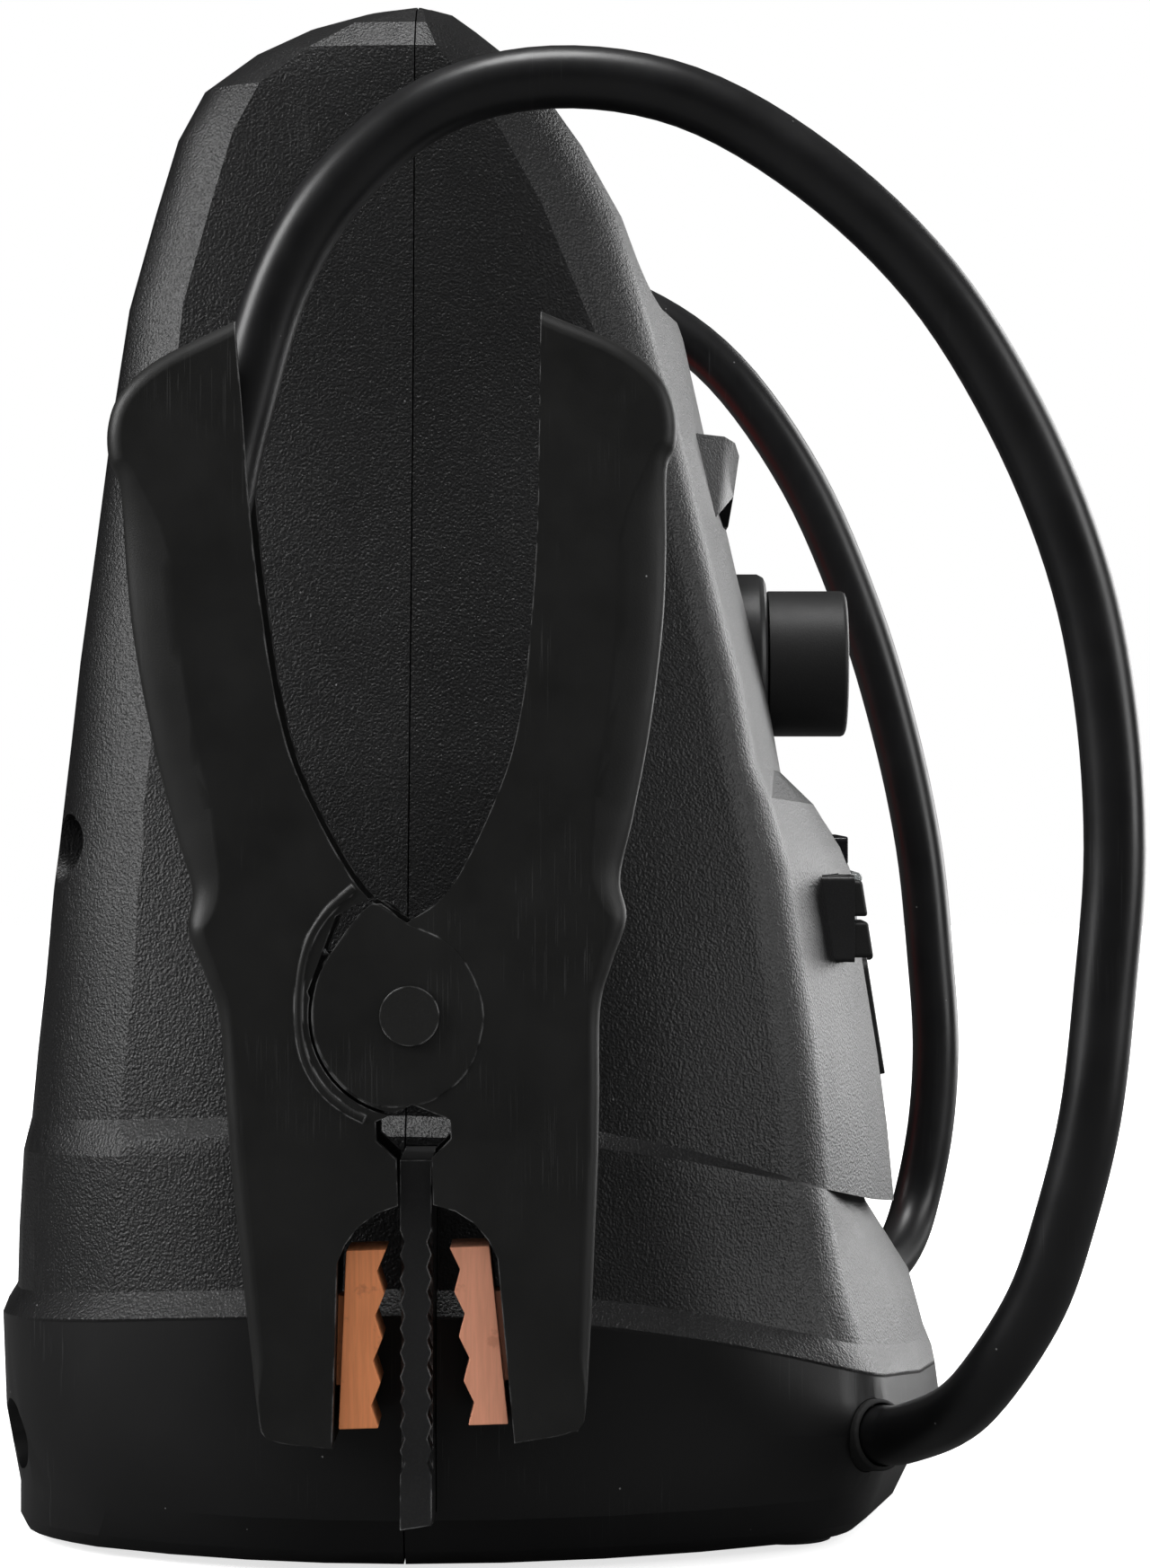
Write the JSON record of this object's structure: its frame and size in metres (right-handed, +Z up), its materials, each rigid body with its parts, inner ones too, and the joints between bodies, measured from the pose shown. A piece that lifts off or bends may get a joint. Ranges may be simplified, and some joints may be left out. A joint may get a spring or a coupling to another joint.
{
  "type": "jump starter pack",
  "caption": "Portable jump starter pack: tapered housing with a carrying handle, rotary switch, work lamp, and heavy cables to spring clamps hung on its sides.",
  "frame": {"origin": "bottom centre of the box round the rigid part, on the floor under its feet", "axes": "+X to the side of the positive clamp, +Z up, front with the switch and ports towards -Y"},
  "size_m": [0.3454, 0.2436, 0.337],
  "materials": {
    "housing": "moulded grain",
    "foot_rubber": "matte",
    "steel": "plain",
    "pod_plastic": "moulded grain",
    "reflector": "bright",
    "led_board": "plain",
    "lens": "clear",
    "trim": "satin",
    "knob_plastic": "satin",
    "inner_plastic": "satin",
    "window_plastic": "gloss",
    "light_guide": "clear",
    "button_plastic": "satin",
    "flap_rubber": "matte",
    "board": "plain",
    "battery_case": "satin",
    "terminal_brass": "plain",
    "fuse_plastic": "gloss",
    "cable_black": "satin",
    "cable_red": "satin",
    "clamp_black": "satin",
    "clamp_red": "satin",
    "rivet_steel": "blackened",
    "copper": "copper"
  },
  "bodies": {
    "housing": {"rear_shell": "housing", "front_shell": "housing", "feet": "foot_rubber", "rear_screws": "steel", "lamp_housing": "pod_plastic", "lamp_reflector": "reflector", "lamp_board": "led_board", "lamp_lens": "lens", "knob_bezel": "trim", "switch_body": "inner_plastic", "indicator_window": "window_plastic", "status_lights": "light_guide", "button_bezel": "trim", "outlet_socket": "inner_plastic", "usb_block": "inner_plastic", "circuit_board": "board", "battery": "battery_case", "battery_terminals": "terminal_brass", "battery_strap": "steel", "fuse": "fuse_plastic", "near_inner_lead": "cable_black", "far_inner_lead": "cable_red", "switch_link": "cable_red", "near_post": "housing", "far_post": "housing", "near_gland": "trim", "far_gland": "trim", "near_cable": "cable_black", "far_cable": "cable_black", "near_rear_half": "clamp_black", "near_rivet": "rivet_steel", "near_spring": "steel", "near_rear_jaw": "copper", "near_clamp_lead": "cable_black", "far_rear_half": "clamp_red", "far_rivet": "rivet_steel", "far_spring": "steel", "far_rear_jaw": "copper", "far_clamp_lead": "cable_black"},
    "knob": {"switch_knob": "knob_plastic", "switch_shaft": "steel"},
    "upper_button": {"upper_button": "button_plastic"},
    "lower_button": {"lower_button": "button_plastic"},
    "flap": {"port_flap": "flap_rubber"},
    "near_clamp": {"near_front_half": "clamp_black", "near_front_jaw": "copper", "near_spring_arm": "steel"},
    "far_clamp": {"far_front_half": "clamp_red", "far_front_jaw": "copper", "far_spring_arm": "steel"}
  },
  "joints": [
    {"name": "switch_turn", "type": "hinge", "parent": "housing", "child": "knob", "pos_m": [0, -0.0772, 0.1915], "axis": [0, 1, 0], "range_deg": [0, 90]},
    {"name": "upper_press", "type": "slide", "parent": "housing", "child": "upper_button", "axis": [0, 1, 0], "range_m": [0, 0.002], "stiffness_N_per_m": 500, "springref_m": -0.002},
    {"name": "lower_press", "type": "slide", "parent": "housing", "child": "lower_button", "axis": [0, 1, 0], "range_m": [0, 0.002], "stiffness_N_per_m": 500, "springref_m": -0.002},
    {"name": "flap_swing", "type": "hinge", "parent": "housing", "child": "flap", "pos_m": [0.004, -0.09126, 0.12284], "axis": [-1, 0, 0], "range_deg": [0, 110]},
    {"name": "near_squeeze", "type": "hinge", "parent": "housing", "child": "near_clamp", "pos_m": [-0.1585, 0.01019, 0.117], "axis": [-1, 0, 0], "range_deg": [0, 18], "stiffness_Nm_per_rad": 6, "springref_deg": -20.05},
    {"name": "far_squeeze", "type": "hinge", "parent": "housing", "child": "far_clamp", "pos_m": [0.1585, 0.01019, 0.117], "axis": [-1, 0, 0], "range_deg": [0, 18], "stiffness_Nm_per_rad": 6, "springref_deg": -20.05}
  ]
}
